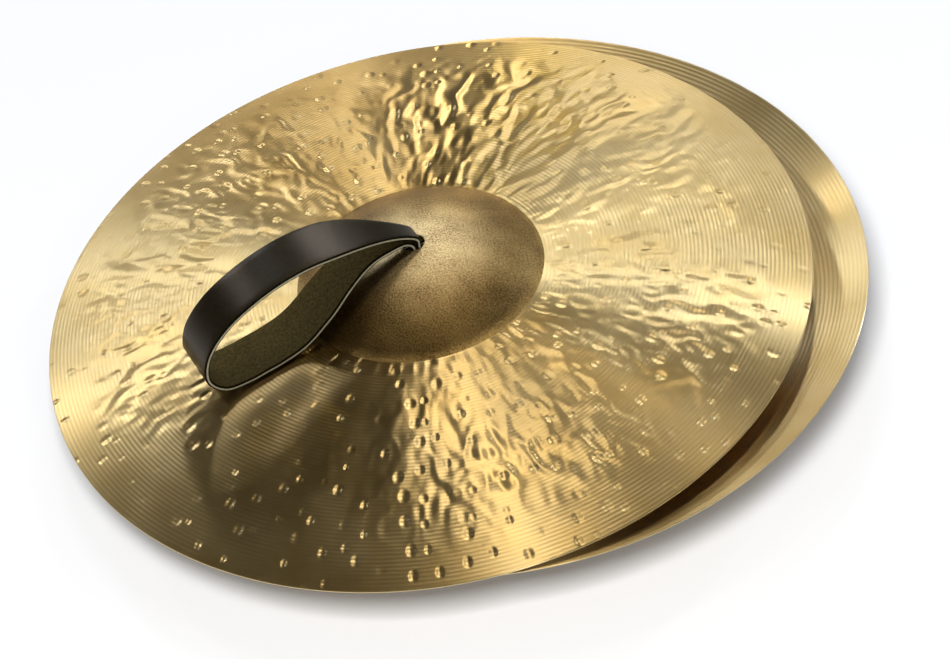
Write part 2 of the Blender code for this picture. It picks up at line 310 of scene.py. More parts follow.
@dataclass
class HammerWork:
    """Large hammer marks on a plate, drawn from a fixed seed at points given by distance and direction.

    Sizes are those of real marks: rows of blows leave hollows that meet in wavy creases, which run outwards, and
    single blows of the hammer's whole face leave ovals. One sector is calm, where the hammer was used less. The
    small punch marks are in the bronze's own bump.
    """

    seed: int
    shape: PlateShape
    radius: np.ndarray
    angle: np.ndarray
    blow_count: int = 26
    blow_from: float = 0.100
    blow_to: float = 0.200
    blow_length: float = 0.0092
    blow_width: float = 0.0074
    blow_depth: float = 0.00017
    border_height: float = 0.6
    border_place: float = 1.03
    border_width: float = 0.14
    crease_turns: float = 9.5
    crease_length: float = 0.031
    crease_height: float = 0.0070
    crease_level: float = 0.30
    crease_round: float = 0.080
    crease_sway: float = 0.50
    sway_scale: float = 1.9
    fine_scale: float = 2.3
    fine_share: float = 0.12
    fine_round: float = 0.09
    slow_scale: float = 0.31
    slow_level: float = 0.95
    slow_swing: float = 1.1
    weakest: float = 0.25
    crease_from: float = 0.074
    crease_to: float = 0.212
    fade_in: float = 0.008
    fade_out: float = 0.030
    calm_turn: float = 4.02
    calm_width: float = 0.62
    calm_share: float = 0.85
    root_count: int = 60
    root_length: float = 0.0110
    root_height: float = 0.00032
    root_flanks: tuple[float, float] = (0.0010, 0.0022)
    wave_to: float = 0.195
    wave_height: float = 0.00077
    wave_lobes: tuple[int, ...] = (5, 8, 13, 21)
    wave_twist: float = 10.0
    rng: np.random.Generator = field(init=False)

    def __post_init__(self) -> None:
        """Start the draws."""
        self.rng = np.random.default_rng(self.seed)

    def lift(self) -> np.ndarray:
        """Work out how far the marks lift or sink the outer face.

        Returns:
            The lift of each point along the axis.
        """
        start = np.clip((self.radius - self.crease_from) / self.fade_in, 0, 1)
        fade = start * np.clip((self.crease_to - self.radius) / self.fade_out, 0, 1)
        total = (self._creases() + self._blows()) * fade
        off = np.abs(self._turn_from(self.calm_turn))
        calm = 1 - self.calm_share * np.clip(2 - 2 * off / self.calm_width, 0, 1)
        return total * calm + self._roots()

    def wave(self) -> np.ndarray:
        """Work out the slow waves that both faces share, still at the bell and near the rim.

        Returns:
            The lift of each point along the axis.
        """
        rng = np.random.default_rng(self.seed + 1)
        share = np.clip((self.radius - self.shape.bell_radius) / (self.wave_to - self.shape.bell_radius), 0, 1)
        total = np.zeros_like(self.radius)
        for lobes in self.wave_lobes:
            turn = rng.uniform(0, math.tau)
            twist = rng.uniform(-self.wave_twist, self.wave_twist)
            height = self.wave_height / (1 + lobes / self.wave_lobes[0])
            total += np.sin(lobes * self.angle + turn + twist * self.radius) * height
        return total * np.sin(math.pi * share) ** 2

    def _turn_from(self, turn: float) -> np.ndarray:
        """Turn of each point from a direction, between minus and plus half a turn."""
        return (self.angle - turn + math.pi) % math.tau - math.pi

    def _creases(self) -> np.ndarray:
        """Draw hollows that meet in sharp wavy creases, long along the radius and as steep everywhere.

        Returns:
            The lift of each point.
        """
        shift = Vector((7.3, 1.9, 4.1)) * self.seed
        # Unseeded, the noise vectors would follow the clock
        noise.seed_set(self.seed)
        around = self.crease_turns
        values = []
        for out, turn in zip(self.radius, self.angle):
            here = Vector((around * math.cos(turn), around * math.sin(turn), out / self.crease_length)) + shift
            here += noise.noise_vector(here * self.sway_scale) * self.crease_sway
            creased = self.crease_level - math.hypot(noise.noise(here), self.crease_round)
            fine = math.hypot(noise.noise(here * self.fine_scale + shift), self.fine_round)
            strong = ease(self.slow_level + self.slow_swing * noise.noise(here * self.slow_scale - shift))
            creased += self.fine_share * (self.crease_level - fine)
            values.append(creased * (self.weakest + (1 - self.weakest) * strong))
        return np.array(values) * self.radius * self.crease_height

    def _roots(self) -> np.ndarray:
        """Draw short ridges round the foot of the bell.

        Returns:
            The lift of each point.
        """
        total = np.zeros_like(self.radius)
        for index in range(self.root_count):
            turn = math.tau * (index + self.rng.uniform(-0.3, 0.3)) / self.root_count
            length = self.root_length * self.rng.uniform(0.6, 1.6)
            height = self.root_height * self.rng.uniform(0.4, 1.3)
            flanks = self.root_flanks if self.rng.random() < 0.5 else self.root_flanks[::-1]
            near = np.flatnonzero(self.radius < self.shape.bell_radius + length)
            run = self.radius[near] - self.shape.bell_radius
            off = self._turn_from(turn)[near] * self.radius[near]
            off += self.rng.uniform(-0.1, 0.1) * run
            flank = np.where(off < 0, flanks[0], flanks[1])
            total[near] += height * np.sin(math.pi * run / length) ** 0.7 * np.exp(-np.abs(off) / flank)
        return total

    def _blows(self) -> np.ndarray:
        """Draw oval blows of the hammer's whole face, each with a low raised border.

        Returns:
            The lift of each point.
        """
        total = np.zeros_like(self.radius)
        for _ in range(self.blow_count):
            place = math.sqrt(self.rng.uniform(self.blow_from ** 2, self.blow_to ** 2))
            turn = self.rng.uniform(0, math.tau)
            size = self.rng.uniform(0.75, 1.1)
            depth = self.blow_depth * self.rng.uniform(0.5, 1.1)
            out = (self.radius - place) / (self.blow_length * size)
            off = self._turn_from(turn) * place / (self.blow_width * size)
            reach = np.hypot(out, off)
            total -= np.where(reach < 1, depth * (1 - reach ** 4), 0)
            border = np.exp(-((reach - self.border_place) / self.border_width) ** 2)
            total += depth * self.border_height * border
        return total


@dataclass(frozen=True)
class TurnedBronze:
    """Cast B20 bronze, turned on a lathe: warm gold with fine rings, so that light drags out along each radius.

    Real rings lie about 0.5 mm apart, too fine to show, so they are drawn some 2.4 mm apart. Punch marks are
    small ovals that the lathe has half taken off, and each catches a spark of light.
    """

    name: str
    light: str = "#F0D08F"
    dark: str = "#D2A95D"
    roughness: float = 0.40
    roughness_spread: float = 0.03
    anisotropy: float = 0.98
    groove_pitch: float = 0.0024
    groove_depth: float = 0.000075
    groove_wander: float = 3.0
    haze_size: float = 0.045
    mark_spacing: float = 0.0162
    mark_length: float = 0.0043
    mark_width: float = 0.0032
    mark_depth: float = 0.0

    def make(self) -> Material:
        """Build the material. It reads the piece's own maps, which hold each point's place on the plate.

        Returns:
            The material.
        """
        material, tree, shader = new_finish(self.name)
        plan = add_node(tree, "UVMap", uv_map=PLAN_MAP)
        radius = add_node(tree, "VectorMath", {0: plan}, operation="LENGTH").outputs["Value"]
        haze = add_node(tree, "TexNoise", {
            "Vector": plan, "Scale": 1 / self.haze_size, "Detail": 4.0, "Roughness": 0.6,
        }, noise_dimensions="2D")
        colour = add_node(tree, "Mix", {
            "Factor": haze, COLOUR_A: linear(self.dark), COLOUR_B: linear(self.light),
        }, data_type="RGBA")
        gloss = add_node(tree, "MapRange", {
            "Value": haze, "From Min": 0.3, "From Max": 0.7,
            "To Min": self.roughness - self.roughness_spread, "To Max": self.roughness + self.roughness_spread,
        })
        turned = self._grooves(tree, radius, haze)
        plug(tree, shader, {
            "Base Color": colour.outputs[COLOUR_OUT],
            "Metallic": 1.0,
            "Roughness": gloss,
            "Anisotropic": self.anisotropy,
            "Tangent": add_node(tree, "Tangent", direction_type="UV_MAP", uv_map=TURNING_MAP),
            "Normal": self._marks(tree, plan, turned) if self.mark_depth else turned,
        })
        return material

    def _grooves(self, tree: NodeTree, radius: NodeSocket, haze: Node) -> Node:
        """Cut the rings of the turning tool, a little uneven in pitch and depth.

        Args:
            tree: node tree that gets the nodes.
            radius: socket that gives the distance from the plate's axis.
            haze: node that gives slow, soft patches.

        Returns:
            A bump node.
        """
        uneven = add_node(tree, "TexNoise", {
            "W": radius, "Scale": 1 / (5 * self.groove_pitch), "Detail": 1.0,
        }, noise_dimensions="1D")
        turns = add_node(tree, "Math", {0: radius, 1: math.tau / self.groove_pitch}, operation="MULTIPLY")
        shifted = add_node(tree, "Math", {0: uneven, 1: self.groove_wander, 2: turns}, operation="MULTIPLY_ADD")
        ring = add_node(tree, "Math", {0: shifted}, operation="SINE")
        deep = add_node(tree, "MapRange", {
            "Value": haze, "From Min": 0.35, "From Max": 0.65, "To Min": 0.5, "To Max": 1.3,
        })
        height = add_node(tree, "Math", {0: ring, 1: deep}, operation="MULTIPLY")
        return add_node(tree, "Bump", {"Height": height, "Distance": self.groove_depth})

    def _marks(self, tree: NodeTree, plan: Node, under: Node) -> Node:
        """Sink the punch marks, one in each cell of a scattered pattern.

        Args:
            tree: node tree that gets the nodes.
            plan: node that gives each point's place on the plate.
            under: bump node of the grooves.

        Returns:
            A bump node with both.
        """
        cells = add_node(tree, "TexVoronoi", {
            "Vector": plan, "Scale": 1 / self.mark_spacing, "Randomness": 0.8,
        }, voronoi_dimensions="2D")
        off = add_node(tree, "VectorMath", {0: plan, 1: cells.outputs["Position"]}, operation="SUBTRACT")
        outwards = add_node(tree, "VectorMath", {0: plan}, operation="NORMALIZE")
        along = add_node(tree, "VectorMath", {0: off, 1: outwards}, operation="DOT_PRODUCT").outputs["Value"]
        inwards = add_node(tree, "VectorMath", {0: outwards, "Scale": along}, operation="SCALE")
        across = add_node(tree, "VectorMath", {0: off, 1: inwards}, operation="SUBTRACT")
        side = add_node(tree, "VectorMath", {0: across}, operation="LENGTH").outputs["Value"]
        chance = add_node(tree, "SeparateColor", {"Color": cells.outputs["Color"]})
        size = add_node(tree, "MapRange", {"Value": chance.outputs["Red"], "To Min": 0.6, "To Max": 1.15})
        long = add_node(tree, "Math", {0: along, 1: self.mark_length}, operation="DIVIDE")
        wide = add_node(tree, "Math", {0: side, 1: self.mark_width}, operation="DIVIDE")
        both = add_node(tree, "CombineXYZ", {"X": long, "Y": wide})
        reach = add_node(tree, "VectorMath", {0: both}, operation="LENGTH").outputs["Value"]
        share = add_node(tree, "Math", {0: reach, 1: size}, operation="DIVIDE")
        bowl = add_node(tree, "MapRange", {
            "Value": share, "From Min": 0.10, "From Max": 1.1, "To Min": -1.0, "To Max": 0.0,
        }, interpolation_type="SMOOTHSTEP")
        kept = add_node(tree, "MapRange", {"Value": chance.outputs["Green"], "From Min": 0.05, "From Max": 0.6})
        height = add_node(tree, "Math", {0: bowl, 1: kept}, operation="MULTIPLY")
        return add_node(tree, "Bump", {"Height": height, "Distance": self.mark_depth, "Normal": under})


@dataclass(frozen=True)
class RawBronze:
    """Cast B20 bronze as it left the fire and the hammer: brown, dull and finely mottled, with a painted highlight
    that makes the top paler round the hole.

    The mottling is drawn from its real size, 1.2 mm for the skin's grain and 30 mm for the stains of the fire.
    """

    name: str
    # pale is the colour of the painted highlight round the hole, where light falls on the bell's top
    pale: str = "#F0D49C"
    light: str = "#BE9856"
    dark: str = "#6E532A"
    roughness: float = 0.42
    grain: float = 0.0012
    grain_share: float = 1.4
    patch: float = 0.030
    relief: float = 0.00022
    # The painted highlight is full out to pale_from and gone at pale_to
    pale_from: float = 0.006
    pale_to: float = 0.060

    def make(self) -> Material:
        """Build the material.

        Returns:
            The material.
        """
        material, tree, shader = new_finish(self.name)
        plan = add_node(tree, "UVMap", uv_map=PLAN_MAP)
        radius = add_node(tree, "VectorMath", {0: plan}, operation="LENGTH").outputs["Value"]
        grain = add_node(tree, "TexNoise", {
            "Vector": plan, "Scale": 1 / self.grain, "Detail": 3.0, "Roughness": 0.7,
        }, noise_dimensions="2D")
        patch = add_node(tree, "TexNoise", {
            "Vector": plan, "Scale": 1 / self.patch, "Detail": 3.0,
        }, noise_dimensions="2D")
        # Painted highlight: share of the pale colour, full near the hole and none from pale_to outwards
        painted_highlight_share = add_node(tree, "MapRange", {
            "Value": radius, "From Min": self.pale_from, "From Max": self.pale_to, "To Min": 1.0, "To Max": 0.0,
        }, interpolation_type="SMOOTHSTEP")
        mixed = add_node(tree, "Math", {0: grain, 1: self.grain_share, 2: patch}, operation="MULTIPLY_ADD")
        tone = add_node(tree, "MapRange", {"Value": mixed, "From Min": 0.80, "From Max": 1.60})
        brown = add_node(tree, "Mix", {
            "Factor": tone, COLOUR_A: linear(self.dark), COLOUR_B: linear(self.light),
        }, data_type="RGBA")
        # The painted highlight shows most where the mottling is light
        painted_highlight_on_grain = add_node(tree, "Math", {0: painted_highlight_share, 1: tone}, operation="MULTIPLY")
        colour = add_node(tree, "Mix", {
            "Factor": painted_highlight_on_grain, COLOUR_A: brown.outputs[COLOUR_OUT], COLOUR_B: linear(self.pale),
        }, data_type="RGBA")
        plug(tree, shader, {
            "Base Color": colour.outputs[COLOUR_OUT],
            "Metallic": 1.0,
            "Roughness": self.roughness,
            "Normal": add_node(tree, "Bump", {"Height": grain, "Distance": self.relief}),
        })
        return material


@dataclass(frozen=True)
class Hide:
    """Vegetable tanned cow leather, dyed dark.

    Its grain side has a satin sheen, its flesh side is napped and dull, and its cut edges are pale in the middle
    and dyed where they are rounded. Pores are drawn at 0.4 to 0.7 mm, a few times their real size, so as to show.
    """

    name: str
    light: str
    dark: str
    roughness: float
    pore: float
    relief: float
    gloss: float
    sheen: str = "#CB9F47"

    def make(self) -> Material:
        """Build the material.

        Returns:
            The material.
        """
        material, tree, shader = new_finish(self.name)
        place = add_node(tree, "TexCoord").outputs["Object"]
        cells = add_node(tree, "TexVoronoi", {"Vector": place, "Scale": 1 / self.pore})
        nap = add_node(tree, "TexNoise", {
            "Vector": place, "Scale": 1 / (self.pore * 3), "Detail": 5.0, "Roughness": 0.65,
        })
        tone = add_node(tree, "MapRange", {"Value": nap, "From Min": 0.34, "From Max": 0.66})
        colour = add_node(tree, "Mix", {
            "Factor": tone, COLOUR_A: linear(self.dark), COLOUR_B: linear(self.light),
        }, data_type="RGBA")
        height = add_node(tree, "Math", {0: cells.outputs["Distance"], 1: nap})
        plug(tree, shader, {
            "Base Color": colour.outputs[COLOUR_OUT],
            "Roughness": self.roughness,
            "Specular IOR Level": self.gloss,
            "Specular Tint": linear(self.sheen),
            "Normal": add_node(tree, "Bump", {"Height": height, "Strength": 0.8, "Distance": self.relief}),
        })
        return material


# The inside shows rings but no punch marks. The filed edge is smoother than the bow, and its colour is painted
# paler, a painted highlight that makes the rim a thin bright line
BOW_BRONZE = TurnedBronze("hammered_and_turned_b20_bronze", mark_depth=0.00032)
BELL_BRONZE = RawBronze("raw_b20_bronze")
INSIDE_BRONZE = TurnedBronze("turned_b20_bronze", groove_pitch=0.0025, groove_depth=0.00006)
EDGE_BRONZE = TurnedBronze("filed_b20_bronze_edge", "#F3DFAE", "#E6C888", roughness=0.3, groove_depth=1e-6)

# Light and dark colour, roughness, pore and relief of each leather
GRAIN_LEATHER = Hide("dyed_leather_grain_side", "#241E10", "#171309", 0.31, 0.0007, 0.00003, gloss=0.38)
FLESH_LEATHER = Hide("dyed_leather_flesh_side", "#63552F", "#40361D", 0.90, 0.0005, 0.00012, gloss=0.1)
CUT_LEATHER = Hide("cut_leather_edge", "#D6D1B4", "#ADA88A", 0.75, 0.0004, 0.00008, gloss=0.2)
DYED_LEATHER = Hide("dyed_leather_edge", "#1E190D", "#131007", 0.70, 0.0007, 0.00003, gloss=0.1)

# In the order of Face and that of Leather
PLATE_FINISHES = [finish.make() for finish in (BOW_BRONZE, BELL_BRONZE, INSIDE_BRONZE, EDGE_BRONZE)]
LEATHER_FINISHES = [finish.make() for finish in (GRAIN_LEATHER, FLESH_LEATHER, CUT_LEATHER, DYED_LEATHER)]


@dataclass(frozen=True)
class Seat:
    """Where one cymbal lies: frames of its plate and of its strap, and the bodies that they ride on."""

    side: Side
    plate: Matrix
    strap: Matrix

    def body(self, part: str) -> str:
        """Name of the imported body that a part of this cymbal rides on."""
        return f"{self.side.value}_{part}"

    @classmethod
    def of(cls, side: Side, shape: PlateShape, pivot_height: float) -> "Seat":
        """Work out where a cymbal lies from the joints of its strap.

        Args:
            side: which cymbal.
            shape: sizes of its plate.
            pivot_height: height of the strap's pivot over the bell's top.

        Returns:
            The cymbal's seat.
        """
        joints = {joint["name"]: joint for joint in frame["joints"]}
        swivel = joints[f"{side.value}_strap_swivel"]
        tip = joints[f"{side.value}_strap_tip"]
        up = Vector(swivel["axis"]).normalized()
        if side is Side.LOWER:
            up = -up
        across = -Vector(tip["axis"]).normalized()
        out = across.cross(up).normalized()
        across = up.cross(out)
        top = Vector(swivel["pos_m"]) - up * pivot_height
        strap = Matrix.Translation(top) @ Matrix((out, across, up)).transposed().to_4x4()
        right = (Vector((1, 0, 0)) - up * up.x).normalized()
        plate = Matrix.Translation(top - up * shape.top)
        plate = plate @ Matrix((right, up.cross(right), up)).transposed().to_4x4()
        return cls(side, plate, strap)


@dataclass
class Plate:
    """One plate: turned from its profile, its outside hammered, its bell left raw.

    Steps along the profile are short on the outside, where the hammer works, and longer on the inside. A face
    counts as outside where at least the share `mostly` of its corners lies there.
    """

    seat: Seat
    shape: PlateShape
    seed: int
    segments: int = 440
    fine_from: float = 0.130
    bell_steps: int = 12
    inner_bow_step: float = 0.0015
    outer_bow_step: float = 0.00145
    inside_steps: int = 20
    edge_round: float = 0.00022
    still_rim: float = 0.002
    mostly: float = 0.9
    piece: Optional[Object] = field(default=None, init=False)

    def build(self) -> Object:
        """Turn, hammer, dress and place the plate.

        Returns:
            The plate's object.
        """
        self._turn()
        self._refine_bow()
        self._hammer()
        self._paint()
        side = self.seat.side.value
        settle(self.piece, self.seat.plate)
        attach(self.piece, self.seat.body("cymbal"))
        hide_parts(f"{side}_cymbal")
        LOG.info("%s: %d faces", self.piece.name, len(self.piece.data.polygons))
        return self.piece

    def _profile(self) -> list[tuple[float, float]]:
        """Draw the profile from the hole down the outside, round the edge and back up the inside.

        Returns:
            Distance from the axis and height of each point.
        """
        shape = self.shape
        bell = np.linspace(shape.hole_radius, shape.bell_radius, self.bell_steps + 1)[:-1]
        near = np.arange(shape.bell_radius, self.fine_from, self.inner_bow_step)
        rim = shape.radius - self.edge_round
        steps = round((rim - self.fine_from) / self.outer_bow_step)
        far = np.linspace(self.fine_from, rim, steps + 1)
        outside = [(float(r), shape.outside(float(r))) for r in (*bell, *near, *far)]
        edge = [
            (shape.radius, shape.outside(shape.radius) - self.edge_round),
            (shape.radius, shape.inside(shape.radius) + self.edge_round),
        ]
        bow = np.linspace(rim, shape.bell_radius, self.inside_steps // 2 + 1)
        cup = np.linspace(shape.bell_radius, shape.hole_radius, self.inside_steps // 2 + 1)[1:]
        inside = [(float(r), shape.inside(float(r))) for r in (*bow, *cup)]
        return outside + edge + inside

    def _turn(self) -> None:
        """Draw the profile and spin it round the axis."""
        profile = self._profile()
        first = Vector((profile[0][0], 0.0, profile[0][1]))
        self.piece = start_piece(f"{self.seat.side.value}_plate", first)
        with editing(self.piece):
            here = first
            for radius, height in (*profile[1:], profile[0]):
                there = Vector((radius, 0.0, height))
                bpy.ops.mesh.extrude_region_move(TRANSFORM_OT_translate={"value": there - here})
                here = there
            bpy.ops.mesh.select_all(action="SELECT")
            bpy.ops.mesh.remove_doubles(threshold=MERGE_DISTANCE)
            bpy.ops.mesh.spin(steps=self.segments, angle=math.tau, center=(0, 0, 0), axis=(0, 0, 1))
            bpy.ops.mesh.select_all(action="SELECT")
            bpy.ops.mesh.remove_doubles(threshold=MERGE_DISTANCE)
            bpy.ops.mesh.normals_make_consistent(inside=False)

    def _polar(self) -> tuple[np.ndarray, np.ndarray, np.ndarray]:
        """Distance from the axis, direction round it and height of each vertex."""
        places = read(self.piece.data.vertices, "co", np.float32, 3).reshape(-1, 3).astype(float)
        return np.hypot(places[:, 0], places[:, 1]), np.arctan2(places[:, 1], places[:, 0]), places[:, 2]

    def _on_outside(self, radius: np.ndarray, height: np.ndarray) -> np.ndarray:
        """Which vertices lie on the outer face."""
        middle = [self.shape.inside(r) + self.shape.wall(r) / 2 for r in radius]
        return height > np.array(middle)

    def _refine_bow(self) -> None:
        """Halve the spacing round the outer part of the bow, where the rings are long."""
        mesh = self.piece.data
        radius, _, height = self._polar()
        outside = self._on_outside(radius, height)
        first, second = read(mesh.edges, "vertices", np.int32, 2).reshape(-1, 2).T
        chosen = (np.abs(radius[first] - radius[second]) < SAME_PLACE) & outside[first] & outside[second]
        chosen &= radius[first] > self.fine_from - SAME_PLACE
        with editing(self.piece):
            bpy.ops.mesh.select_all(action="DESELECT")
            bpy.ops.mesh.select_mode(type="EDGE")
        mesh.edges.foreach_set("select", chosen)
        with editing(self.piece):
            bpy.ops.mesh.subdivide(number_cuts=1)

    def _hammer(self) -> None:
        """Sink the hammer marks into the outer face and let both faces wave."""
        mesh = self.piece.data
        radius, angle, height = self._polar()
        outside = self._on_outside(radius, height)
        lift = HammerWork(self.seed, self.shape, radius, angle).wave()
        rim = self.shape.radius - self.still_rim
        bow = outside & (radius > self.shape.bell_radius + SAME_PLACE) & (radius < rim)
        lift[bow] += HammerWork(self.seed, self.shape, radius[bow], angle[bow]).lift()
        places = read(mesh.vertices, "co", np.float32, 3)
        places[2::3] += lift.astype(np.float32)
        mesh.vertices.foreach_set("co", places)
        mesh.update()

    def _paint(self) -> None:
        """Give each face its finish, and map each corner by its distance from the axis and its direction."""
        mesh = self.piece.data
        for finish in PLATE_FINISHES:
            mesh.materials.append(finish)
        radius, angle, height = self._polar()
        outside = self._on_outside(radius, height)
        corners = read(mesh.loops, "vertex_index", np.int32)
        starts = read(mesh.polygons, "loop_start", np.int32)
        sizes = np.diff(np.append(starts, len(corners)))
        out = np.add.reduceat(outside[corners].astype(float), starts) / sizes
        middle = np.add.reduceat(radius[corners], starts) / sizes
        kinds = np.full(len(starts), Face.INSIDE.value, np.int32)
        kinds[(out > self.mostly) & (middle > self.shape.bell_radius)] = Face.BOW.value
        kinds[(out > self.mostly) & (middle < self.shape.bell_radius)] = Face.BELL.value
        kinds[middle < self.shape.hole_radius + 10 * SAME_PLACE] = Face.BELL.value
        kinds[middle > self.shape.radius - self.edge_round] = Face.EDGE.value
        mesh.polygons.foreach_set("material_index", kinds)
        turn = angle[corners] / math.tau
        face_of = np.repeat(np.arange(len(starts)), sizes)
        highest = np.maximum.reduceat(turn, starts)[face_of]
        turn = np.where(highest - turn > 0.5, turn + 1, turn)
        out, angle = radius[corners], angle[corners]
        for name, pair in (
            (TURNING_MAP, (out, turn)),
            (PLAN_MAP, (out * np.cos(angle), out * np.sin(angle))),
        ):
            layer = mesh.uv_layers.new(name=name)
            layer.data.foreach_set("uv", np.stack(pair, axis=1).astype(np.float32).ravel())
        pick(self.piece)
        bpy.ops.object.shade_smooth_by_angle(angle=SMOOTH_UNDER)


@dataclass(frozen=True)
class StrapShape:
    """Sizes of one strap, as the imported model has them. Places along a loop are shares of its reach."""

    thickness: float = 0.0030
    width: float = 0.0340
    taper: float = 0.070
    gap: float = 0.0003
    neck_clearance: float = 0.0004
    neck_bottom: float = -0.00285
    steps: int = 8

    @property
    def root_radius(self) -> float:
        """Radius of the turn that the strap makes over its hole."""
        return (self.thickness + self.gap) / 2

    @property
    def pivot_height(self) -> float:
        """Height over the bell's top of the line about which a loop tips."""
        return self.gap + self.thickness / 2 + self.root_radius

    @property
    def on_table(self) -> float:
        """Height over the bell's top of the middle of a band that lies on the table."""
        return self.pivot_height + self.root_radius

    def neck_width(self, hole_radius: float) -> float:
        """Width of the strap where its two layers fill the hole."""
        room = hole_radius - self.neck_clearance
        return 2 * math.sqrt(room ** 2 - (self.thickness + self.gap / 2) ** 2)


def smooth_line(points: Sequence[Vector], steps: int) -> list[Vector]:
    """Draw a smooth open line through points, evenly eased between uneven spacings.

    Args:
        points: places that the line passes.
        steps: how many steps it takes from one to the next.

    Returns:
        The line's points.
    """
    ends = [2 * points[0] - points[1], *points, 2 * points[-1] - points[-2]]
    line = []
    for index in range(len(points) - 1):
        four = ends[index:index + 4]
        knots = [0.0]
        for first, second in zip(four, four[1:]):
            knots.append(knots[-1] + math.sqrt((second - first).length))
        for step in range(steps):
            place = knots[1] + (knots[2] - knots[1]) * step / steps
            row = list(four)
            for level in (1, 2, 3):
                spans = [(knots[i], knots[i + level]) if level < 3 else (knots[1], knots[2])
                         for i in range(len(row) - 1)]
                row = [row[i].lerp(row[i + 1], (place - low) / (high - low))
                       for i, (low, high) in enumerate(spans)]
            line.append(row[0])
    line.append(points[-1].copy())
    return line


@dataclass
class Ribbon:
    """Strip of leather drawn along a line in a side view, with a grain side, a flesh side and cut edges.

    Widths and sideways shifts are given for each point of the line.
    """

    name: str
    line: list[Vector]
    widths: list[float]
    shifts: list[float]
    thickness: float
    edge_round: float = 0.00095
    edge_steps: int = 4
    edge_angle: float = math.radians(60)
    columns: int = 6

    def build(self) -> Object:
        """Sweep the strip's width along its line, thicken it and round its edges.

        Returns:
            The strip's object, still in its side view's frame.
        """
        first = self.line[0]
        piece = start_piece(self.name, (first.x, self.shifts[0] - self.widths[0] / 2, first.y))
        with editing(piece):
            for _ in range(self.columns):
                step = (0.0, self.widths[0] / self.columns, 0.0)
                bpy.ops.mesh.extrude_region_move(TRANSFORM_OT_translate={"value": step})
            bpy.ops.mesh.select_all(action="SELECT")
            for index in range(1, len(self.line)):
                here, there = self.line[index - 1], self.line[index]
                step = (there.x - here.x, self.shifts[index] - self.shifts[index - 1], there.y - here.y)
                bpy.ops.mesh.extrude_region_move(TRANSFORM_OT_translate={"value": step})
                grown = self.widths[index] / self.widths[index - 1]
                bpy.ops.transform.resize(
                    value=(1, grown, 1), center_override=(there.x, self.shifts[index], there.y),
                )
            bpy.ops.mesh.select_all(action="SELECT")
            bpy.ops.mesh.normals_make_consistent(inside=False)
        for finish in LEATHER_FINISHES:
            piece.data.materials.append(finish)
        leather = piece.modifiers.new("leather", "SOLIDIFY")
        leather.thickness = self.thickness
        leather.offset = 0.0
        leather.use_even_offset = True
        leather.material_offset = Leather.FLESH.value
        leather.material_offset_rim = Leather.CUT.value
        rounding = piece.modifiers.new("rounding", "BEVEL")
        rounding.width = self.edge_round
        rounding.segments = self.edge_steps
        rounding.material = Leather.DYED.value
        rounding.use_clamp_overlap = False
        rounding.limit_method = "ANGLE"
        rounding.angle_limit = self.edge_angle
        pick(piece)
        for modifier in (leather.name, rounding.name):
            bpy.ops.object.modifier_apply(modifier=modifier)
        bpy.ops.object.shade_smooth_by_angle(angle=SMOOTH_UNDER)
        return piece


